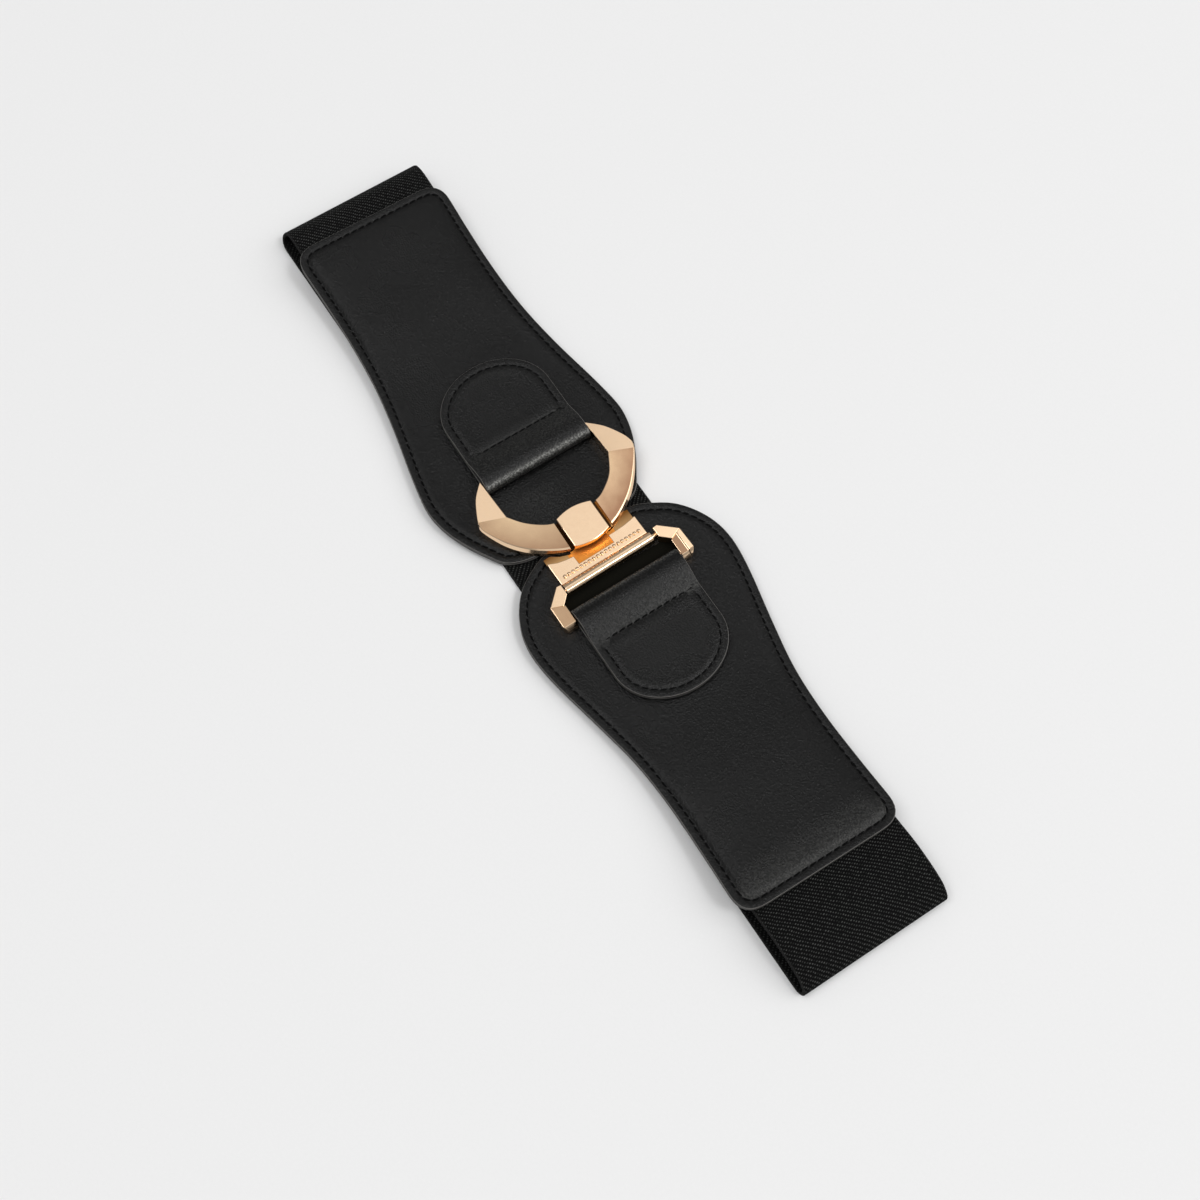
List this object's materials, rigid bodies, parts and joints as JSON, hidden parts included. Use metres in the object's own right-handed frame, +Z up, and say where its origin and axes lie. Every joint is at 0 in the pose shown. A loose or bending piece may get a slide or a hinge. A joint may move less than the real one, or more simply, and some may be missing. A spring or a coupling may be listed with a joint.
{
  "type": "wide belt",
  "caption": "Wide black elastic belt with shaped leather paddles and a rose-gold ring-and-hook buckle, fastened and lying flat.",
  "frame": {"origin": "middle of the underside of the back stretch of webbing, which lies on the floor", "axes": "+X along the belt towards the hook side, +Y across the belt, +Z up out of the buckle's face"},
  "size_m": [0.3566, 0.0892, 0.0118],
  "materials": {
    "black_leather": "smooth black coated leather, satin, fine grain",
    "elastic_webbing": "black twill elastic webbing, matt",
    "rose_gold": "polished rose-gold plate on cast zinc"
  },
  "bodies": {
    "root": {"elastic_band": "elastic_webbing", "paddle_a_backing": "black_leather", "paddle_a_face": "black_leather", "paddle_b_backing": "black_leather", "paddle_b_face": "black_leather", "tab_a": "black_leather", "tab_b": "black_leather", "ring": "rose_gold", "hook_plate": "rose_gold", "lug_frame": "rose_gold", "hinge_pin": "rose_gold"}
  },
  "joints": []
}
